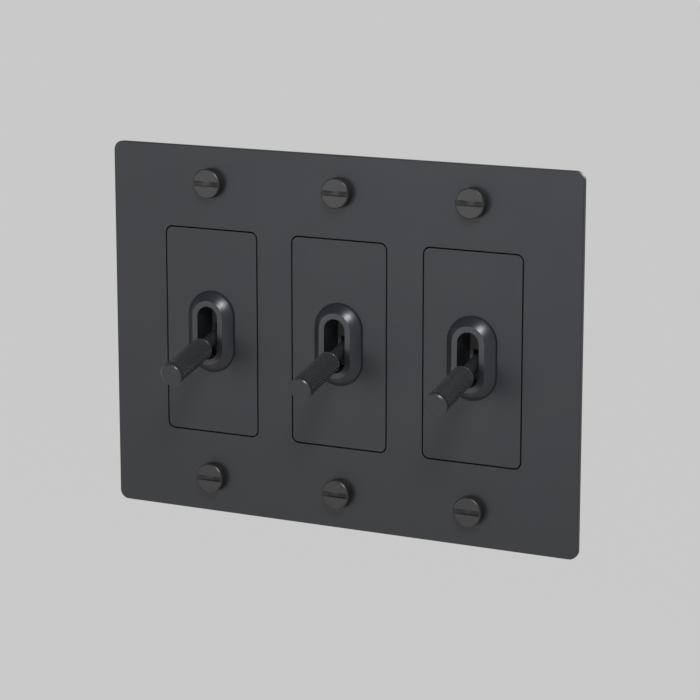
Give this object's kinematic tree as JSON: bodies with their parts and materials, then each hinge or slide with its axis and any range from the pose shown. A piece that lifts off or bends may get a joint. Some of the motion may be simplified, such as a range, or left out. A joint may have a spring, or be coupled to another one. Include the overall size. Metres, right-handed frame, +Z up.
{
  "type": "toggle light switch with wall plate",
  "caption": "Flat metal wall plate with flush toggle switches, bevelled collars, knurled levers and slotted coin-head screws.",
  "frame": {"origin": "centre of the wall plate on the wall plane, which is the back of the gasket and yokes", "axes": "+Z up, +X to the right seen from the room, +Y into the wall; the front faces -Y"},
  "size_m": [0.164, 0.0591, 0.12],
  "materials": {
    "black_metal": "satin",
    "grip_metal": "satin, diamond knurled",
    "stem_metal": "satin",
    "screw_metal": "satin",
    "shutter_black": "matte",
    "gasket_foam": "matte",
    "zinc_steel": "zinc plated",
    "spring_steel": "bright",
    "green_steel": "green passivated",
    "black_moulding": "matte",
    "nylon": "matte",
    "brass": "satin"
  },
  "bodies": {
    "mounting_assembly": {"cover_plate": "black_metal", "plate_gasket": "gasket_foam", "plate_screws": "screw_metal", "box_screws": "zinc_steel", "terminal_screws": "brass", "ground_screws": "green_steel", "housing_rivets": "zinc_steel", "face_insert_1": "black_metal", "toggle_collar_1": "black_metal", "collar_clip_1": "spring_steel", "mounting_yoke_1": "zinc_steel", "housing_cover_1": "black_moulding", "switch_housing_1": "black_moulding", "pivot_pin_1": "zinc_steel", "common_terminal_1": "brass", "switched_terminal_1": "brass", "face_insert_2": "black_metal", "toggle_collar_2": "black_metal", "collar_clip_2": "spring_steel", "mounting_yoke_2": "zinc_steel", "housing_cover_2": "black_moulding", "switch_housing_2": "black_moulding", "pivot_pin_2": "zinc_steel", "common_terminal_2": "brass", "switched_terminal_2": "brass", "face_insert_3": "black_metal", "toggle_collar_3": "black_metal", "collar_clip_3": "spring_steel", "mounting_yoke_3": "zinc_steel", "housing_cover_3": "black_moulding", "switch_housing_3": "black_moulding", "pivot_pin_3": "zinc_steel", "common_terminal_3": "brass", "switched_terminal_3": "brass"},
    "toggle_1": {"toggle_stem_1": "stem_metal", "toggle_grip_1": "grip_metal", "plunger_1": "nylon", "plunger_spring_1": "spring_steel"},
    "shutter_1": {"dust_shutter_1": "shutter_black"},
    "rocker_1": {"contact_rocker_1": "brass"},
    "toggle_2": {"toggle_stem_2": "stem_metal", "toggle_grip_2": "grip_metal", "plunger_2": "nylon", "plunger_spring_2": "spring_steel"},
    "shutter_2": {"dust_shutter_2": "shutter_black"},
    "rocker_2": {"contact_rocker_2": "brass"},
    "toggle_3": {"toggle_stem_3": "stem_metal", "toggle_grip_3": "grip_metal", "plunger_3": "nylon", "plunger_spring_3": "spring_steel"},
    "shutter_3": {"dust_shutter_3": "shutter_black"},
    "rocker_3": {"contact_rocker_3": "brass"}
  },
  "joints": [
    {"name": "toggle_lever_1", "type": "hinge", "parent": "mounting_assembly", "child": "toggle_1", "pos_m": [-0.04604, 0.0066, 0], "axis": [-1, 0, 0], "range_deg": [0, 28]},
    {"name": "shutter_slide_1", "type": "slide", "parent": "mounting_assembly", "child": "shutter_1", "axis": [0, 0, 1], "range_m": [0, 0.0022]},
    {"name": "rocker_pivot_1", "type": "hinge", "parent": "mounting_assembly", "child": "rocker_1", "pos_m": [-0.04604, 0.02058, 0], "axis": [1, 0, 0], "range_deg": [0, 18]},
    {"name": "toggle_lever_2", "type": "hinge", "parent": "mounting_assembly", "child": "toggle_2", "pos_m": [0, 0.0066, 0], "axis": [-1, 0, 0], "range_deg": [0, 28]},
    {"name": "shutter_slide_2", "type": "slide", "parent": "mounting_assembly", "child": "shutter_2", "axis": [0, 0, 1], "range_m": [0, 0.0022]},
    {"name": "rocker_pivot_2", "type": "hinge", "parent": "mounting_assembly", "child": "rocker_2", "pos_m": [0, 0.02058, 0], "axis": [1, 0, 0], "range_deg": [0, 18]},
    {"name": "toggle_lever_3", "type": "hinge", "parent": "mounting_assembly", "child": "toggle_3", "pos_m": [0.04604, 0.0066, 0], "axis": [-1, 0, 0], "range_deg": [0, 28]},
    {"name": "shutter_slide_3", "type": "slide", "parent": "mounting_assembly", "child": "shutter_3", "axis": [0, 0, 1], "range_m": [0, 0.0022]},
    {"name": "rocker_pivot_3", "type": "hinge", "parent": "mounting_assembly", "child": "rocker_3", "pos_m": [0.04604, 0.02058, 0], "axis": [1, 0, 0], "range_deg": [0, 18]}
  ],
  "couplings": [
    {"joint": "shutter_slide_1", "follows": "toggle_lever_1", "m_per_rad": 0.0044897},
    {"joint": "rocker_pivot_1", "follows": "toggle_lever_1", "ratio": 0.64286},
    {"joint": "shutter_slide_2", "follows": "toggle_lever_2", "m_per_rad": 0.0044897},
    {"joint": "rocker_pivot_2", "follows": "toggle_lever_2", "ratio": 0.64286},
    {"joint": "shutter_slide_3", "follows": "toggle_lever_3", "m_per_rad": 0.0044897},
    {"joint": "rocker_pivot_3", "follows": "toggle_lever_3", "ratio": 0.64286}
  ]
}
